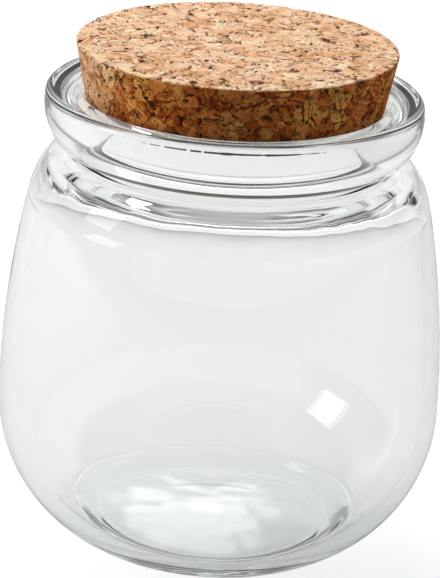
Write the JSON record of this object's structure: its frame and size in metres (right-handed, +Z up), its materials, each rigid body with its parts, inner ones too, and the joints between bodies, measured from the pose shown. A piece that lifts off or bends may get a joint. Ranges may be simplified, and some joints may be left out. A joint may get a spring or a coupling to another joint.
{
  "type": "glass storage jar with cork stopper",
  "caption": "Squat round clear glass storage jar with a beaded lip and a tapered cork stopper resting in its wide mouth.",
  "frame": {"origin": "centre of the foot ring, on the surface that the jar stands on", "axes": "+Z up along the jar's axis, through the mouth; the jar is round, so +X and +Y are arbitrary"},
  "size_m": [0.08, 0.08, 0.0929],
  "materials": {
    "clear_glass": "clear pressed glass, faintly green where it is thick",
    "cork": "bonded natural cork granules, cut and sanded, unsealed"
  },
  "bodies": {
    "root": {"glass_jar": "clear_glass", "cork_stopper": "cork"}
  },
  "joints": []
}
